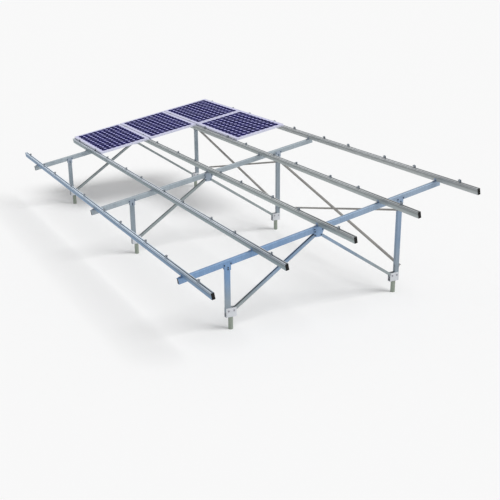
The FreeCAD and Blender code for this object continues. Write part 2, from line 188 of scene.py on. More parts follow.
class Net:
    """The node net of a material or of the world."""

    def __init__(self, owner):
        owner.use_nodes = True
        self.tree = owner.node_tree

    def feed(self, socket, value):
        """Link a wire to a socket, or set the socket to a plain value."""
        if isinstance(value, Wire):
            self.tree.links.new(value.socket, socket)
        elif hasattr(value, "__len__") and len(value) == 3 and socket.type == "RGBA":
            socket.default_value = (*value, 1.0)
        else:
            socket.default_value = value

    def node(self, kind, settings, values, output=0):
        """Add a node, set it, feed its sockets, and give back one of its outputs."""
        made = self.tree.nodes.new(kind)
        for key, value in settings.items():
            if key == "stops":
                self.set_stops(made.color_ramp.elements, value)
            else:
                setattr(made, key, value)
        for key, value in values.items():
            self.feed(made.inputs[key], value)
        return Wire(self, made.outputs[output])

    def set_stops(self, elements, stops):
        while len(elements) < len(stops):
            elements.new(1.0)
        for element, (place, colour) in zip(elements, stops):
            element.position = place
            element.color = (*colour, 1.0)

    def object_place(self):
        """Place of the shaded point on the object, in metres."""
        return self.node("ShaderNodeTexCoord", {}, {}, "Object")

    def axes(self, vector):
        """The three numbers of a vector."""
        x = self.node("ShaderNodeSeparateXYZ", {}, {"Vector": vector}, "X")
        return x, x.part("Y"), x.part("Z")

    def stretched(self, vector, scale):
        """A vector scaled along its axes, so that a pattern on it is stretched."""
        return self.node("ShaderNodeMapping", {}, {"Vector": vector, "Scale": scale})

    def noise(self, vector, scale, detail=3.0):
        """Soft clouds from 0 to 1, with about scale of them in a metre."""
        values = {"Vector": vector, "Scale": scale, "Detail": detail}
        return self.node("ShaderNodeTexNoise", {}, values, "Fac")

    def mixed(self, amount, first, second):
        """A colour between two colours."""
        values = {0: amount, 6: first, 7: second}
        return self.node("ShaderNodeMix", {"data_type": "RGBA"}, values, 2)

    def scaled(self, colour, amount):
        """A colour made lighter or darker."""
        values = {0: colour, "Scale": amount}
        return self.node("ShaderNodeVectorMath", {"operation": "SCALE"}, values)

    def bumped(self, height, strength, distance):
        """Normals tipped by a height in metres."""
        values = {"Height": height, "Strength": strength, "Distance": distance}
        return self.node("ShaderNodeBump", {}, values)


def new_finish(name):
    """A fresh material, its net and its Principled shader."""
    material = bpy.data.materials.new(name)
    net = Net(material)
    return material, net, net.tree.nodes["Principled BSDF"]


print("wires and nets are ready")

# %% [markdown]
# ## Galvanised steel
#
# Posts, rafters, braces and plates are dipped in zinc. The coat freezes in flat crystals,
# the spangle, a few millimetres to a centimetre across, each a little lighter or darker
# and duller than its neighbours. A noise texture alone gives clouds and no crystals, so
# Voronoi cells make the spangle, and noise adds the weather: broad pale patches, and
# fine streaks where water ran down.
#
# The near end of the frame mirrors a blue sky, most of all low at the front and high on
# each post, and the far end is a neutral grey. That reflection is painted into the zinc's
# colour: one mask for posts, rafters, braces and plates, worked out from the place on the
# whole frame, keeps the painted reflection unbroken from piece to piece.

# %% A zinc coat in any tint
# Colours of the painted blue sky reflection, and where on the frame it reaches.
SKY_REFLECTION_BLUES = ((0.24, 0.38, 0.60), (0.14, 0.26, 0.46))
BLUE_FROM_X = (1.4, 3.3)
BLUE_FROM_Z = (0.30, 0.85)
BLUE_FADE_Y = (-1.3, 1.5)
BLUE_FADE = 0.55
CRYSTAL_WARP = (0.006, 0.004)
SPANGLE_RELIEF = 0.0004


def blue_reach(net, place):
    """Painted sky reflection: 1 at the near front head, 0 far off and at the feet."""
    x, y, z = net.axes(place)
    toward_rear = y.stepped(*BLUE_FADE_Y) * BLUE_FADE
    return x.stepped(*BLUE_FROM_X) * z.stepped(*BLUE_FROM_Z) * (1 - toward_rear)


def zinc_coat(name, fresh, worn, metallic=0.6, roughness=0.45, spangle=120.0, blue=0.0):
    material, net, shader = new_finish(name)
    place = net.object_place()
    warp = net.noise(place, 35.0, 2.0)
    shifts = {"X": warp * CRYSTAL_WARP[0], "Y": warp * CRYSTAL_WARP[1]}
    shift = net.node("ShaderNodeCombineXYZ", {}, shifts)
    shifted = net.node("ShaderNodeVectorMath", {"operation": "ADD"}, {0: place, 1: shift})
    crystals = {"Vector": shifted, "Scale": spangle}
    flake = net.axes(net.node("ShaderNodeTexVoronoi", {}, crystals, "Color"))[0]
    edges = net.node("ShaderNodeTexVoronoi", {"feature": "DISTANCE_TO_EDGE"}, crystals)
    clouds = net.noise(place, 3.5)
    streaks = net.noise(net.stretched(place, (55.0, 55.0, 4.0)), 1.0, 4.0)
    shade = (clouds * 0.5 + streaks * 0.35 + flake * 0.15).stepped(0.25, 0.75)
    colour = net.mixed(shade, worn, fresh)
    # Painted reflection: the blue sky mirrored in the zinc is painted into its colour.
    if blue:
        painted_sky_reflection = net.mixed(shade, SKY_REFLECTION_BLUES[1], SKY_REFLECTION_BLUES[0])
        colour = net.mixed(blue_reach(net, place) * blue, colour, painted_sky_reflection)
    net.feed(shader.inputs["Base Color"], colour)
    net.feed(shader.inputs["Roughness"], roughness + flake * 0.14 - clouds * 0.12)
    height = edges.stepped(0.0, 0.12) * 0.5 + flake * 0.5
    net.feed(shader.inputs["Normal"], net.bumped(height, 0.12, SPANGLE_RELIEF))
    shader.inputs["Metallic"].default_value = metallic
    return material


# blue is how much painted sky reflection a coat takes.
steel = {
    "rafter": zinc_coat("zinc_rafter", (0.42, 0.48, 0.52), (0.31, 0.36, 0.40), blue=0.9),
    "post": zinc_coat("zinc_post", (0.32, 0.37, 0.42), (0.23, 0.28, 0.32), blue=1.0),
    "brace": zinc_coat("zinc_brace", (0.36, 0.40, 0.41), (0.26, 0.30, 0.31), blue=0.7),
    "plate": zinc_coat("zinc_plate", (0.38, 0.44, 0.52), (0.28, 0.34, 0.41), blue=1.0),
    "angle": zinc_coat("zinc_angle", (0.36, 0.35, 0.33), (0.26, 0.25, 0.24), metallic=0.4),
    "clamp": zinc_coat("zinc_bright", (0.70, 0.72, 0.76), (0.56, 0.58, 0.61), metallic=0.4,
                       roughness=0.38),
    "bolt": zinc_coat("zinc_bolt", (0.42, 0.42, 0.46), (0.28, 0.28, 0.31), metallic=0.8,
                      roughness=0.36, spangle=500.0),
    "dark_bolt": zinc_coat("dark_bolt", (0.06, 0.09, 0.14), (0.03, 0.05, 0.08), metallic=0.3,
                           roughness=0.5, spangle=500.0),
    "screw": zinc_coat("zinc_screw", (0.36, 0.40, 0.35), (0.24, 0.28, 0.23), metallic=0.5,
                       roughness=0.55, spangle=70.0),
}
print("zinc coats:", ", ".join(steel))

# %% [markdown]
# ## Extruded aluminium
#
# The rails and module frames are pressed through a die, which leaves fine lines along
# their whole length and a soft satin. The lines must run with the bar, so the noise is
# stretched: slow along the bar and quick across it. The rails are bare mill metal and
# greyer, and the module frames are anodised and nearly white. Light is painted on a rail:
# its top and front lip are painted bright, its slot and inside hold painted shade, its front
# side is painted darker at the top than below, and the low rails carry a painted blue sky
# reflection.

# %% Rails and frames
# Painted light: the tops are painted lit and the fronts painted in shade, both bluer low on the
# slope from a painted sky reflection.
RAIL_LIT_TOPS = ((0.00, (0.74, 0.86, 1.00)), (0.25, (0.80, 0.86, 0.94)),
             (0.50, (0.66, 0.69, 0.70)), (1.00, (0.74, 0.76, 0.78)))
RAIL_SHADED_FRONTS = ((0.00, (0.12, 0.21, 0.33)), (0.25, (0.20, 0.25, 0.27)),
               (0.50, (0.29, 0.33, 0.33)), (1.00, (0.36, 0.38, 0.38)))
FRONT_LIGHT = 1.35
FRONT_SHADE = 0.65
FRONT_SHADE_DEPTHS = (0.070, 0.015)
TOP_FADE = 0.35
TOP_FADE_X = (2.4, 3.9)
# Painted shade inside the slot and the rail, and along the slot's mouth on the front lip.
SLOT_SHADE_TONES = ((0.08, 0.10, 0.14), (0.26, 0.27, 0.28))
MOUTH_SHADE = 0.8
MOUTH_SHADE_S = (-0.007, -0.001)
MOUTH_MIDDLE_S = 0.0035
SKIN = 0.0004
GROOVE_REACH = 0.003
SLOPE_REACH = rail_s[-1] - rail_s[0]


def to_slope(net):
    """The shaded place turned so that its axes run along x, s and n."""
    moved = net.node("ShaderNodeMapping", {}, {"Vector": net.object_place(),
                                               "Location": (0.0, 0.0, -slope_origin.z)})
    return net.node("ShaderNodeMapping", {}, {"Vector": moved, "Rotation": (-tilt, 0.0, 0.0)})


def extruded(name, light, dark, metallic, roughness, lines_along):
    """Satin metal with die lines, and what it is made of, to build on."""
    material, net, shader = new_finish(name)
    turned = to_slope(net)
    lines = net.noise(net.stretched(turned, lines_along), 1.0, 2.0)
    clouds = net.noise(turned, 2.2)
    smudges = net.noise(turned, 18.0, 4.0)
    tone = (lines * 0.4 + clouds * 0.4 + smudges * 0.2).stepped(0.3, 0.7)
    colour = net.mixed(tone, dark, light)
    net.feed(shader.inputs["Base Color"], colour)
    net.feed(shader.inputs["Roughness"], roughness + lines * 0.12 + smudges * 0.08)
    net.feed(shader.inputs["Normal"], net.bumped(lines, 0.1, 0.0002))
    shader.inputs["Metallic"].default_value = metallic
    return material, net, shader, turned, colour, tone


def rail_coat():
    """Mill metal with painted light, darker and bluer in front the lower the rail stands."""
    material, net, shader, turned, colour, tone = extruded(
        "rail_aluminium", (0.56, 0.60, 0.62), (0.44, 0.48, 0.50), 0.6, 0.38, (0.25, 900.0, 900.0))
    x, s, n = net.axes(turned)
    up = (s - rail_s[0]) / SLOPE_REACH
    tops = net.node("ShaderNodeValToRGB", {"stops": RAIL_LIT_TOPS}, {"Fac": up})
    fronts = net.node("ShaderNodeValToRGB", {"stops": RAIL_SHADED_FRONTS}, {"Fac": up})
    across = (s - rail_s[0] + rail_pitch / 2).wrapped(rail_pitch) - rail_pitch / 2
    front = across.under(SKIN - RAIL_WIDTH / 2)
    shade_heights = [rail_top - depth for depth in FRONT_SHADE_DEPTHS]
    # Painted shade: the front side is darker near its top.
    fronts = net.scaled(fronts, FRONT_LIGHT - n.stepped(*shade_heights) * FRONT_SHADE)
    slot_shade = net.mixed(up, *SLOT_SHADE_TONES)
    # The painted light on the tops fades toward the right end, and the slot's mouth gets painted
    # shade.
    tops = net.scaled(tops, 1 - x.stepped(*TOP_FADE_X) * TOP_FADE)
    mouth = across.stepped(*MOUTH_SHADE_S) * across.under(MOUTH_MIDDLE_S)
    tops = net.mixed(mouth * MOUTH_SHADE, tops, slot_shade)
    outer = net.mixed(tone * 0.2, net.mixed(front, tops, fronts), colour)
    # Painted shade on every face inside the rail.
    inside = across.size().under(RAIL_WIDTH / 2 - GROOVE_REACH) * n.under(rail_top - SKIN)
    net.feed(shader.inputs["Base Color"], net.mixed(inside, outer, slot_shade))
    return material


rail_finish = rail_coat()
frame_finish = extruded("module_frame_aluminium", (0.74, 0.75, 0.88), (0.62, 0.63, 0.78),
                        0.35, 0.34, (40.0, 40.0, 40.0))[0]
hat_finish = extruded("module_clamp_aluminium", (0.34, 0.38, 0.42), (0.22, 0.26, 0.30),
                      0.6, 0.36, (0.25, 900.0, 900.0))[0]
print("aluminium:", rail_finish.name, frame_finish.name, hat_finish.name)

# %% [markdown]
# ## Cells behind glass
#
# A module shows a grid of dark blue silicon cells on a white sheet, all under glass. Each
# cell was cut from a round rod, so its corners are clipped, and where four cells meet the
# white sheet shows as a diamond. Thin silver busbars cross every cell. A picture could
# carry all this, but lines in a formula stay sharp at any distance. The four modules lie
# on one lattice, so one formula that repeats with the lattice serves them all. It works
# on the slope's own directions, which a Mapping node gives by turning the place back.

# %% The laminate
MODULE_DEPTH = 0.990
COLUMN_PITCH = bent_x["right"] / 2
CELLS = (11, 9)
CELL_PITCH = (0.142, 0.098)
CELL_GAPS = (0.003, 0.006)
CELL_CLIP = 0.024
BUSBARS = 3
BUSBAR_WIDTH = 0.0008
FINGER_PITCH = 0.002
FINGER_WIDTH = 0.00016
SLOT_SHIFT = 0.004
LATTICE_START = (10.5, 3)
BACK_SHEET_N = rail_top + 0.029
GLASS_SIDE_N = rail_top + 0.030
BACK_ROUGHNESS = 0.5
GLASS_POLISH = 0.34
CELL_BLUES = ((0.003, 0.003, 0.050), (0.008, 0.006, 0.100))
FINGER_TONE = (0.10, 0.10, 0.20)
BUSBAR_TONE = (0.16, 0.16, 0.28)
MARGIN_TONE = (0.66, 0.66, 0.86)
GAP_TONE = (0.52, 0.52, 0.92)
BACK_TONE = (0.80, 0.80, 0.80)


def cell_masks(net, x, s):
    """Masks of the field, its cells and their busbars, from the place on the lattice."""
    across = x.wrapped(COLUMN_PITCH) - COLUMN_PITCH / 2
    up = s.wrapped(rail_pitch) - rail_pitch / 2
    in_x = (across + CELLS[0] * CELL_PITCH[0] / 2).wrapped(CELL_PITCH[0]) - CELL_PITCH[0] / 2
    in_s = (up + CELLS[1] * CELL_PITCH[1] / 2).wrapped(CELL_PITCH[1]) - CELL_PITCH[1] / 2
    half_x = (CELL_PITCH[0] - CELL_GAPS[0]) / 2
    half_s = (CELL_PITCH[1] - CELL_GAPS[1]) / 2
    field = (across.size().under(CELLS[0] * CELL_PITCH[0] / 2)
             * up.size().under(CELLS[1] * CELL_PITCH[1] / 2))
    clipped = (in_x.size() + in_s.size()).under(half_x + half_s - CELL_CLIP)
    cell = field * in_x.size().under(half_x) * in_s.size().under(half_s) * clipped
    bar_pitch = CELL_PITCH[1] / BUSBARS
    from_bar = (in_s + CELL_PITCH[1] / 2).wrapped(bar_pitch) - bar_pitch / 2
    bar = from_bar.size().under(BUSBAR_WIDTH / 2) * cell
    return field, cell, bar, in_x


def laminate_finish():
    material, net, shader = new_finish("laminate")
    turned = to_slope(net)
    x, s, n = net.axes(turned)
    lattice_x = x + LATTICE_START[0] * COLUMN_PITCH
    lattice_s = s - SLOT_SHIFT - rail_s[0] + LATTICE_START[1] * rail_pitch
    field, cell, bar, in_x = cell_masks(net, lattice_x, lattice_s)
    clouds = net.noise(turned, 9.0, 3.0)
    from_finger = in_x.wrapped(FINGER_PITCH) - FINGER_PITCH / 2
    fingers = from_finger.size().under(FINGER_WIDTH / 2)
    silicon = net.mixed(clouds.stepped(0.35, 0.7), *CELL_BLUES)
    silicon = net.mixed(fingers * 0.2, silicon, FINGER_TONE)
    sheet = net.mixed(field, MARGIN_TONE, GAP_TONE)
    front = net.mixed(cell, sheet, silicon)
    front = net.mixed(bar * 0.6, front, BUSBAR_TONE)
    glass_side = n.maths("GREATER_THAN", GLASS_SIDE_N)
    colour = net.mixed(glass_side, BACK_TONE, front)
    net.feed(shader.inputs["Base Color"], colour)
    roughness = BACK_ROUGHNESS - glass_side * GLASS_POLISH + clouds * 0.04
    net.feed(shader.inputs["Roughness"], roughness)
    shader.inputs["Specular IOR Level"].default_value = 0.0
    shader.inputs["Coat Weight"].default_value = 0.06
    shader.inputs["Coat Roughness"].default_value = 0.08
    return material


cell_finish = laminate_finish()
print("cells per module:", CELLS[0] * CELLS[1])

# %% [markdown]
# ## Black plastic
#
# The rails and rafters are closed at their ends by moulded caps, and a box under each
# module covers its terminals. All are black plastic with a fine moulded grain.

# %% Moulded plastic
def moulded(name, colour):
    material, net, shader = new_finish(name)
    grain = net.noise(net.object_place(), 900.0, 2.0)
    dust = net.noise(net.object_place(), 25.0).stepped(0.45, 0.8)
    net.feed(shader.inputs["Base Color"], net.mixed(dust * 0.2, colour, (0.05, 0.05, 0.045)))
    net.feed(shader.inputs["Roughness"], 0.5 + grain * 0.2)
    net.feed(shader.inputs["Normal"], net.bumped(grain, 0.15, 0.0002))
    shader.inputs["Specular IOR Level"].default_value = 0.2
    return material


plastic = moulded("black_plastic", (0.008, 0.008, 0.008))
print("plastic:", plastic.name)

# %% [markdown]
# ## Dress the construction
#
# The shapes that came with the frame are right, so they stay and only change their
# finish. A node's name says what it is, so the start of the name picks its material.

# %% A finish for every node
def finish_for(node):
    """The material of a node: that of the first start that its name has."""
    starts = {"ground_screws": steel["screw"], "base_clamps": steel["clamp"],
              "front_post": steel["post"], "rear_post": steel["post"],
              "rafter": steel["rafter"],
              "front_brace": steel["brace"], "rear_brace": steel["brace"],
              "post_heads": steel["plate"], "mid_gussets": steel["plate"],
              "rail_cleats": steel["plate"], "rail_end_caps": plastic,
              "rail_": rail_finish,
              "cross_brace": steel["angle"], "module_frame": frame_finish,
              "module_clamps": hat_finish, "module_laminate": cell_finish,
              "junction_boxes": plastic}
    return next(finish for start, finish in starts.items() if node.startswith(start))


for node, piece in nodes.items():
    piece.data.materials.clear()
    piece.data.materials.append(finish_for(node))
print("dressed", len(nodes), "nodes")

# %% [markdown]
# ## Modelling by hand, in code
#
# A new piece starts as a primitive, and edit mode shapes it. An operator works on all
# that is selected, so first nothing is selected, and then faces are picked by their
# place or direction. A finished piece sits at the origin with its place in its mesh.

# %% Helpers for modelling
def start_piece(add, name, **sizes):
    """Add a primitive on its own and give it a name."""
    bpy.ops.object.select_all(action="DESELECT")
    add(**sizes)
    piece = bpy.context.object
    piece.name = name
    bpy.ops.object.transform_apply(location=True, rotation=True, scale=True)
    return piece


def pick_faces(piece, test):
    """In edit mode, select the faces that pass a test."""
    bpy.ops.mesh.select_mode(type="FACE")
    bpy.ops.mesh.select_all(action="DESELECT")
    mesh = bmesh.from_edit_mesh(piece.data)
    for face in mesh.faces:
        face.select_set(test(face))
    bmesh.update_edit_mesh(piece.data)


def joined(pieces, name):
    """Join pieces into the first one."""
    bpy.ops.object.select_all(action="DESELECT")
    for piece in pieces:
        piece.select_set(True)
    bpy.context.view_layer.objects.active = pieces[0]
    bpy.ops.object.join()
    pieces[0].name = name
    return pieces[0]


print("modelling helpers are ready")

# %% [markdown]
# ## Bolts, nuts and washers
#
# Every joint of the frame is bolted. A hexagon bolt is a six-sided prism with its top
# corners turned off, on a washer, and its far end sticks out of a nut by a few turns of
# thread. One bolt could be a cylinder with six sides and no more, but the chamfers catch
# the light and tell the eye that it is a bolt. Each size is modelled once, standing on
# the plate at zero with its shank down, and is then copied to every place.

# %% One bolt of a given size
THREAD_PITCH = 0.3
THREAD_ROOT = 0.86
BOLT_TURNS = 4
SPIN_STEP = 0.7
SMOOTH_BELOW = 30.0


def hexagon(name, across, height, base):
    """Six-sided prism from a base height up, chamfered at both ends."""
    piece = start_piece(bpy.ops.mesh.primitive_cylinder_add, name, vertices=6,
                        radius=across / math.sqrt(3), depth=height,
                        location=(0, 0, base + height / 2))
    bpy.ops.object.mode_set(mode="EDIT")
    pick_faces(piece, lambda face: abs(face.normal.z) > 0.9)
    bpy.ops.mesh.bevel(offset=across * 0.07, segments=2)
    bpy.ops.object.mode_set(mode="OBJECT")
    return piece


def washer(name, radius, thickness, base):
    """Flat disc with bevelled rims, for a ring whose hole is filled by its bolt."""
    piece = start_piece(bpy.ops.mesh.primitive_cylinder_add, name, vertices=20,
                        radius=radius, depth=thickness,
                        location=(0, 0, base + thickness / 2))
    bpy.ops.object.mode_set(mode="EDIT")
    pick_faces(piece, lambda face: abs(face.normal.z) > 0.9)
    bpy.ops.mesh.bevel(offset=thickness * 0.25, segments=1)
    bpy.ops.object.mode_set(mode="OBJECT")
    return piece


def shank(name, radius, top, end, turns):
    """Round shank from top down to end, its last stretch cut into thread turns."""
    pitch = radius * THREAD_PITCH
    plain_end = end + turns * pitch
    piece = start_piece(bpy.ops.mesh.primitive_cylinder_add, name, vertices=12,
                        radius=radius, depth=top - plain_end,
                        location=(0, 0, (top + plain_end) / 2))
    bpy.ops.object.mode_set(mode="EDIT")
    pick_faces(piece, lambda face: face.normal.z < -0.9)
    for turn in range(turns):
        for scale in (THREAD_ROOT, 1 / THREAD_ROOT):
            bpy.ops.mesh.extrude_region_move(TRANSFORM_OT_translate={"value": (0, 0, -pitch / 2)})
            bpy.ops.transform.resize(value=(scale, scale, 1))
    bpy.ops.object.mode_set(mode="OBJECT")
    return piece


def hex_bolt(name, thread, grip):
    """Bolt of a thread diameter through plates of a total thickness."""
    across = thread * 1.6
    head_height = thread * 0.65
    washer_radius = thread * 1.05
    washer_wall = thread * 0.2
    nut_height = thread * 0.85
    far = -grip - washer_wall - nut_height
    pieces = [hexagon(name, across, head_height, washer_wall),
              washer("near_washer", washer_radius, washer_wall, 0.0),
              washer("far_washer", washer_radius, washer_wall, -grip - washer_wall),
              hexagon("nut", across, nut_height, far),
              shank("shank", thread / 2, 0.0, far - thread * 0.6, BOLT_TURNS)]
    return joined(pieces, name)


def copies(pattern, name, places, finish):
    """Copy a piece to each (point, direction), its own +Z along the direction."""
    made = []
    for i, (point, direction) in enumerate(places):
        copy = pattern.copy()
        copy.data = pattern.data.copy()
        bpy.context.scene.collection.objects.link(copy)
        turn = direction.to_track_quat("Z", "Y").to_matrix().to_4x4()
        spin = Matrix.Rotation(i * SPIN_STEP, 4, "Z")
        copy.data.transform(Matrix.Translation(point) @ turn @ spin)
        made.append(copy)
    piece = joined(made, name)
    piece.data.materials.clear()
    piece.data.materials.append(finish)
    bpy.ops.object.select_all(action="DESELECT")
    piece.select_set(True)
    bpy.ops.object.shade_smooth_by_angle(angle=math.radians(SMOOTH_BELOW))
    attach(piece, "root")
    print(name, "copies:", len(places), "faces:", len(piece.data.polygons))


def drop(pattern):
    """Remove a pattern once its copies are made."""
    bpy.data.objects.remove(pattern)


# %% [markdown]
# ## Bolts through the base clamps
#
# Each base clamp is held to its post and its brace by one bolt each, through both
# cheeks, and to the ground screw by a thick bolt through its floor. They are long, so
# their grip is the clamp's whole width.

# %% Base clamp bolts
CLAMP_SPAN = 0.060
CLAMP_FLOOR = 0.178
CLAMP_BOLT_HEIGHT = 0.262
CLAMP_BOLT_STEP = 0.040
ANCHOR_GRIP = 0.012
SCREW_RADIUS = 0.0325
toward_right = Vector((1.0, 0.0, 0.0))
upward = Vector((0.0, 0.0, 1.0))
screw_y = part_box("ground_screws")[1].y - SCREW_RADIUS

through = hex_bolt("clamp_bolt", 0.012, CLAMP_SPAN)
anchor = hex_bolt("screw_bolt", 0.016, ANCHOR_GRIP)
for bent in BENTS:
    spots = [(Vector((bent_x[bent] + CLAMP_SPAN / 2, side * screw_y + step, CLAMP_BOLT_HEIGHT)),
              toward_right)
             for side in (-1, 1) for step in (-CLAMP_BOLT_STEP, CLAMP_BOLT_STEP)]
    copies(through, "base_clamp_bolts_" + bent, spots, steel["bolt"])
spots = [(Vector((bent_x[bent], side * screw_y, CLAMP_FLOOR)), upward)
         for bent in BENTS for side in (-1, 1)]
copies(anchor, "screw_bolts", spots, steel["bolt"])
drop(through)
drop(anchor)

# %% [markdown]
# ## Bolts at the post heads and mid gussets
#
# At each post head two bolts go through the rafter and two through the post. Each mid
# gusset has two pairs through the rafter and one bolt through each brace. The rafter is
# an open channel, so the bolts are as long as the distance between the two plates.

# %% Plate bolts
PLATE_SPAN = 0.058
HEAD_BOLT_STEP = 0.047
HEAD_BOLT_N = -0.014
HEAD_BOLT_DROPS = (0.016, 0.041)
GUSSET_BOLT_STEP = 0.060
GUSSET_BOLT_NS = (0.014, -0.022)
BRACE_BOLT_Y = 0.047
BRACE_BOLT_HEIGHT = 1.087


def head_spots(bent, post):
    """The four bolts of one post head."""
    x = bent_x[bent] + PLATE_SPAN / 2
    y = middle_of(post).y
    under = slope_origin.z + y * math.tan(tilt) - RAFTER_DEPTH / 2 / math.cos(tilt)
    s = (y - RAFTER_DEPTH / 2 * math.sin(tilt)) / math.cos(tilt)
    points = [on_slope(x, s + step, HEAD_BOLT_N) for step in (-HEAD_BOLT_STEP, HEAD_BOLT_STEP)]
    points += [Vector((x, y, under - drop_by)) for drop_by in HEAD_BOLT_DROPS]
    return [(point, toward_right) for point in points]


def gusset_spots(bent):
    """The six bolts of one mid gusset."""
    x = bent_x[bent] + PLATE_SPAN / 2
    points = [on_slope(x, side * GUSSET_BOLT_STEP, n) for side in (-1, 1) for n in GUSSET_BOLT_NS]
    points += [Vector((x, side * BRACE_BOLT_Y, BRACE_BOLT_HEIGHT)) for side in (-1, 1)]
    return [(point, toward_right) for point in points]


plate_bolt = hex_bolt("plate_bolt", 0.010, PLATE_SPAN)
for bent in BENTS:
    spots = head_spots(bent, "front_post_" + bent) + head_spots(bent, "rear_post_" + bent)
    copies(plate_bolt, "post_head_bolts_" + bent, spots, steel["dark_bolt"])
    copies(plate_bolt, "gusset_bolts_" + bent, gusset_spots(bent), steel["dark_bolt"])
drop(plate_bolt)

# %% [markdown]
# ## Bolts of the cross braces and cleats
#
# A cross brace ends on a rear post with one bolt through the post, and on the middle
# post two bars share a bolt. The bars of a pair cross one behind the other, so an outer
# bar alone on its post has a packing washer behind it. Each cleat has a bolt down into
# the rafter and one back into the rail's side.

# %% Cross brace and cleat bolts
BAR_WALL = 0.003
POST_DEPTH = 0.070
CROSS_HIGH = 1.225
CROSS_LOW = 0.395
INNER_BAR_ENDS = (("right", CROSS_HIGH), ("left", CROSS_LOW))
OUTER_BAR_ENDS = (("right", CROSS_LOW), ("left", CROSS_HIGH))
SHARED_ENDS = (("middle", CROSS_HIGH), ("middle", CROSS_LOW))
PACKING_RADIUS = 0.011
CLEAT_WALL = 0.004
CLEAT_REACH = 0.022
RAFTER_WALL = 0.003
RAIL_WALL = 0.0022

rearward = Vector((0.0, 1.0, 0.0))
rear_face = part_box("rear_post_middle")[1].y


def cross_spots(ends, walls):
    """Bolt places at the rear of the posts, behind bars of a total thickness."""
    return [(Vector((bent_x[bent], rear_face + walls, height)), rearward) for bent, height in ends]


thin_bolt = hex_bolt("thin_bolt", 0.010, POST_DEPTH + BAR_WALL)
thick_bolt = hex_bolt("thick_bolt", 0.010, POST_DEPTH + BAR_WALL * 2)
packing = washer("packing", PACKING_RADIUS, BAR_WALL, 0.0)
copies(thin_bolt, "cross_brace_bolts_inner", cross_spots(INNER_BAR_ENDS, BAR_WALL),
       steel["bolt"])
copies(thick_bolt, "cross_brace_bolts_outer",
       cross_spots(OUTER_BAR_ENDS + SHARED_ENDS, BAR_WALL * 2), steel["bolt"])
copies(packing, "cross_brace_packing", cross_spots(OUTER_BAR_ENDS, 0.0), steel["bolt"])
drop(thin_bolt)
drop(thick_bolt)
drop(packing)

rafter_bolt = hex_bolt("rafter_bolt", 0.010, CLEAT_WALL + RAFTER_WALL)
side_bolt = hex_bolt("side_bolt", 0.008, CLEAT_WALL + RAIL_WALL)
rafter_top = RAFTER_DEPTH / 2
down_spots = []
side_spots = []
for bent in BENTS:
    for s in rail_s:
        front = s - RAIL_WIDTH / 2
        down_spots.append((on_slope(bent_x[bent], front - CLEAT_REACH, rafter_top + CLEAT_WALL),
                           off_slope))
        side_spots.append((on_slope(bent_x[bent], front - CLEAT_WALL, rafter_top + CLEAT_REACH),
                           -up_slope))
copies(rafter_bolt, "cleat_rafter_bolts", down_spots, steel["bolt"])
copies(side_bolt, "cleat_rail_bolts", side_spots, steel["bolt"])
drop(rafter_bolt)
drop(side_bolt)

# %% [markdown]
# ## Bolts of the module clamps
#
# A module clamp is drawn down by a cap screw with a hexagon socket. Its nut is a flat
# block that slides in the rail's slot. On a hat clamp the screw's head lies on the
# floor of the hat, and on an end clamp it lies on top. A hat clamp that holds a module
# stands higher than one that waits on the bare rail.

# %% Cap screw and slot nut
CLAMP_OFFSET = 0.490
COLUMNS = 5
MODULE_HEIGHT = 0.035
HAT_WALL = 0.0025
HAT_HEIGHT = 0.030
END_CLAMP_TOP = 0.038
END_SCREW_SHIFT = 0.0015
SLOT_LIP = 0.0025
CAP_RADIUS = 0.006
CAP_HEIGHT = 0.008
CAP_ROUND = 0.0006
SOCKET_WALL = 0.0022
SOCKET_DEPTH = 0.004
SCREW_SHANK_RADIUS = 0.004
SCREW_TURNS = 2
SLOT_NUT = Vector((0.022, 0.012, 0.006))
SLOT_NUT_ROUND = 0.0008
MODULE_PLACES = ((0, 1), (0, 2), (0, 3), (1, 3))


def cap_screw(name, length):
    """Socket cap screw standing at zero, its slot nut below."""
    head = start_piece(bpy.ops.mesh.primitive_cylinder_add, name, vertices=18,
                       radius=CAP_RADIUS, depth=CAP_HEIGHT, location=(0, 0, CAP_HEIGHT / 2))
    bpy.ops.object.mode_set(mode="EDIT")
    pick_faces(head, lambda face: face.normal.z > 0.9)
    bpy.ops.mesh.bevel(offset=CAP_ROUND, segments=1)
    pick_faces(head, lambda face: face.normal.z > 0.95)
    bpy.ops.mesh.inset(thickness=SOCKET_WALL)
    bpy.ops.mesh.extrude_region_move(TRANSFORM_OT_translate={"value": (0, 0, -SOCKET_DEPTH)})
    bpy.ops.object.mode_set(mode="OBJECT")
    nut = start_piece(bpy.ops.mesh.primitive_cube_add, "slot_nut", size=1.0,
                      location=(0, 0, -length - SLOT_NUT.z / 2), scale=SLOT_NUT)
    bpy.ops.object.mode_set(mode="EDIT")
    bpy.ops.mesh.select_all(action="SELECT")
    bpy.ops.mesh.bevel(offset=SLOT_NUT_ROUND, segments=1)
    bpy.ops.object.mode_set(mode="OBJECT")
    end = -length - SLOT_NUT.z * 1.5
    screw_shank = shank("screw_shank", SCREW_SHANK_RADIUS, 0.0, end, SCREW_TURNS)
    return joined([head, nut, screw_shank], name)


def column_x(column):
    """Middle of a column of module places along the rails."""
    return (column - COLUMNS // 2) * COLUMN_PITCH


def is_held(column, rail):
    """Whether a module rests on this rail in this column."""
    return any((column, bay) in MODULE_PLACES for bay in (rail - 1, rail))


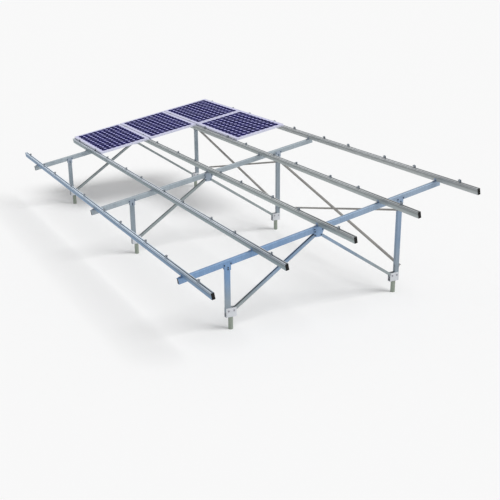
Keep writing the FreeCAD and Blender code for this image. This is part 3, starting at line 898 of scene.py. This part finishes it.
heights = {"end": END_CLAMP_TOP, "waiting": HAT_WALL,
           "holding": MODULE_HEIGHT + HAT_WALL * 2 - HAT_HEIGHT}
screw_spots = {kind: [] for kind in heights}
for rail in range(RAIL_COUNT):
    for column in range(COLUMNS):
        for side in (-1, 1):
            x = column_x(column) + side * CLAMP_OFFSET
            edge = {0: -1, RAIL_COUNT - 1: 1}.get(rail, 0)
            kind = "end" if edge else "holding" if is_held(column, rail) else "waiting"
            s = rail_s[rail] + SLOT_SHIFT + edge * END_SCREW_SHIFT
            screw_spots[kind].append((on_slope(x, s, rail_top + heights[kind]), off_slope))
for kind, spots in screw_spots.items():
    pattern = cap_screw("cap_screw", heights[kind] + SLOT_LIP)
    copies(pattern, "module_clamp_screws_" + kind, spots, steel["bolt"])
    drop(pattern)

# %% [markdown]
# ## Boxes under the modules
#
# Seen from below, each module has a flat black box on its white back, with a lid that
# stands a little inside the box's rim. A cube gives the body. The lid is an inset of its
# lower face, drawn out and bevelled.

# %% Junction boxes
BOX_SIZE = Vector((0.110, 0.070, 0.020))
LID_STEP = 0.005
BOX_ROUND = 0.0015


def junction_box(x, s, n):
    """Box hanging from the back sheet at (x, s), its upper face at n."""
    piece = start_piece(bpy.ops.mesh.primitive_cube_add, "junction_box", size=1.0,
                        location=(0, 0, -BOX_SIZE.z / 2), scale=BOX_SIZE)
    bpy.ops.object.mode_set(mode="EDIT")
    pick_faces(piece, lambda face: face.normal.z < -0.9)
    bpy.ops.transform.translate(value=(0, 0, LID_STEP))
    bpy.ops.mesh.inset(thickness=LID_STEP)
    bpy.ops.mesh.extrude_region_move(TRANSFORM_OT_translate={"value": (0, 0, -LID_STEP)})
    pick_faces(piece, lambda face: face.normal.z < 0.9)
    bpy.ops.mesh.bevel(offset=BOX_ROUND, segments=2)
    bpy.ops.object.mode_set(mode="OBJECT")
    place = Matrix.Translation(on_slope(x, s, n)) @ Matrix.Rotation(tilt, 4, "X")
    piece.data.transform(place)
    return piece


boxes = []
for column, bay in MODULE_PLACES:
    s = rail_s[bay] + SLOT_SHIFT + rail_pitch / 2 + MODULE_DEPTH / 2 - 2 * BOX_SIZE.y
    boxes.append(junction_box(column_x(column), s, BACK_SHEET_N))
lids = joined(boxes, "junction_box_shells")
lids.data.materials.append(plastic)
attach(lids, "root")
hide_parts("junction_boxes")
print("junction boxes:", len(MODULE_PLACES))

# %% [markdown]
# ## End caps
#
# A dark plate closes each end of a rail and of a rafter. The construction has the rails'
# plugs inside the ends, and here come the flanges that cover the cut metal. A flange is
# left open at the rail's slot, so a second block cuts a notch in it. The plates of the
# rafters lie just inside the channel.

# %% Flanges of the rails and plates of the rafters
FLANGE = Vector((RAIL_WIDTH, RAIL_HEIGHT, 0.003))
NOTCH = Vector((0.013, 0.0135, 0.010))
NOTCH_OVERSHOOT = 0.001
PLUG = Vector((0.042, 0.072, 0.004))
PLUG_SETBACK = 0.001
PLATE_ROUND = 0.0006
PLATE_RIM = 0.003
PLATE_SUNK = 0.001


def moulded_plate(name, size):
    """Plate in the XY plane with its outer face at +Z sunk a little inside a rim."""
    piece = start_piece(bpy.ops.mesh.primitive_cube_add, name, size=1.0, scale=size)
    bpy.ops.object.mode_set(mode="EDIT")
    bpy.ops.mesh.select_all(action="SELECT")
    bpy.ops.mesh.bevel(offset=PLATE_ROUND, segments=2)
    pick_faces(piece, lambda face: face.normal.z > 0.99)
    bpy.ops.mesh.inset(thickness=PLATE_RIM)
    bpy.ops.mesh.extrude_region_move(TRANSFORM_OT_translate={"value": (0, 0, -PLATE_SUNK)})
    bpy.ops.object.mode_set(mode="OBJECT")
    return piece


def notched(piece, size, centre):
    """Cut a block out of a piece."""
    block = start_piece(bpy.ops.mesh.primitive_cube_add, "block", size=1.0, location=centre,
                        scale=size)
    bpy.context.view_layer.objects.active = piece
    cut = piece.modifiers.new("notch", "BOOLEAN")
    cut.operation = "DIFFERENCE"
    cut.solver = "EXACT"
    cut.object = block
    bpy.ops.object.modifier_apply(modifier=cut.name)
    drop(block)
    return piece


def at_end(pattern, out, centre):
    """Copy of a plate with its +Z turned along out and its +Y off the slope."""
    copy = pattern.copy()
    copy.data = pattern.data.copy()
    bpy.context.scene.collection.objects.link(copy)
    turn = Matrix((off_slope.cross(out), off_slope, out)).transposed().to_4x4()
    copy.data.transform(Matrix.Translation(centre) @ turn)
    return copy


def kept_caps(plates, name):
    """Join the plates of one kind and hand them over as black plastic."""
    piece = joined(plates, name)
    piece.data.materials.clear()
    piece.data.materials.append(plastic)
    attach(piece, "root")
    print(name, "plates:", len(plates), "faces:", len(piece.data.polygons))


rail_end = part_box("rail_1")[1].x + FLANGE.z / 2
rail_middle_n = (RAFTER_DEPTH + RAIL_HEIGHT) / 2
notch_y = (RAIL_HEIGHT - NOTCH.y) / 2 + NOTCH_OVERSHOOT
for name, side in (("rail_flanges_right", 1), ("rail_flanges_left", -1)):
    mouth = Vector((side * SLOT_SHIFT, notch_y, 0.0))
    flange = notched(moulded_plate("flange", FLANGE), NOTCH, mouth)
    kept_caps([at_end(flange, toward_right * side, on_slope(side * rail_end, s, rail_middle_n))
               for s in rail_s], name)
    drop(flange)

rafter_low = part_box("rafter_middle")[0].y
rafter_half = -(rafter_low + RAFTER_DEPTH / 2 * math.sin(tilt)) / math.cos(tilt)
plug_s = rafter_half - PLUG_SETBACK - PLUG.z / 2
plug = moulded_plate("plug", PLUG)
kept_caps([at_end(plug, up_slope * side, on_slope(bent_x[bent], side * plug_s, 0.0))
           for bent in BENTS for side in (-1, 1)], "rafter_plugs")
drop(plug)

# %% [markdown]
# ## Floor, sky and lamp
#
# The photograph has a plain white ground to the picture and soft light from high on the
# right and behind, which leaves short soft shadows to the left. A pale floor fills the
# view, and the sky is white to the camera, a little weaker in reflections and weakest as
# a lamp, which keeps the metal bright without washing out the shadows.

# %% Stage
FLOOR_SIZE = 240.0
FLOOR_COLOUR = (0.97, 0.97, 0.97)
SKY_AS_LAMP = 0.5
SKY_IN_METAL = 0.8
SUN_STRENGTH = 1.85
SUN_FROM = Vector((0.40, 0.44, 0.80))
SUN_ANGLE = 32.0

bpy.ops.object.select_all(action="DESELECT")
bpy.ops.mesh.primitive_plane_add(size=FLOOR_SIZE)
floor = bpy.context.object
floor.name = "floor"
floor_finish, _, floor_shader = new_finish("floor")
floor_shader.inputs["Base Color"].default_value = (*FLOOR_COLOUR, 1.0)
floor_shader.inputs["Roughness"].default_value = 0.9
floor_shader.inputs["Specular IOR Level"].default_value = 0.0
floor.data.materials.append(floor_finish)

world = bpy.data.worlds.new("sky")
bpy.context.scene.world = world
sky = Net(world)
path = sky.node("ShaderNodeLightPath", {}, {}, "Is Camera Ray")
mirrored = path.part("Is Glossy Ray") * (SKY_IN_METAL - SKY_AS_LAMP)
sky_shader = sky.tree.nodes["Background"]
sky.feed(sky_shader.inputs["Color"], (1.0, 1.0, 1.0))
strength = SKY_AS_LAMP + path * (1 - SKY_AS_LAMP) + mirrored
sky.feed(sky_shader.inputs["Strength"], strength)

sun_data = bpy.data.lights.new("sun", "SUN")
sun_data.energy = SUN_STRENGTH
sun_data.angle = math.radians(SUN_ANGLE)
sun = bpy.data.objects.new("sun", sun_data)
sun.rotation_euler = SUN_FROM.to_track_quat("Z", "Y").to_euler()
bpy.context.scene.collection.objects.link(sun)
bpy.context.scene.view_settings.view_transform = "Standard"
print("sun from", [round(v, 2) for v in SUN_FROM.normalized()])
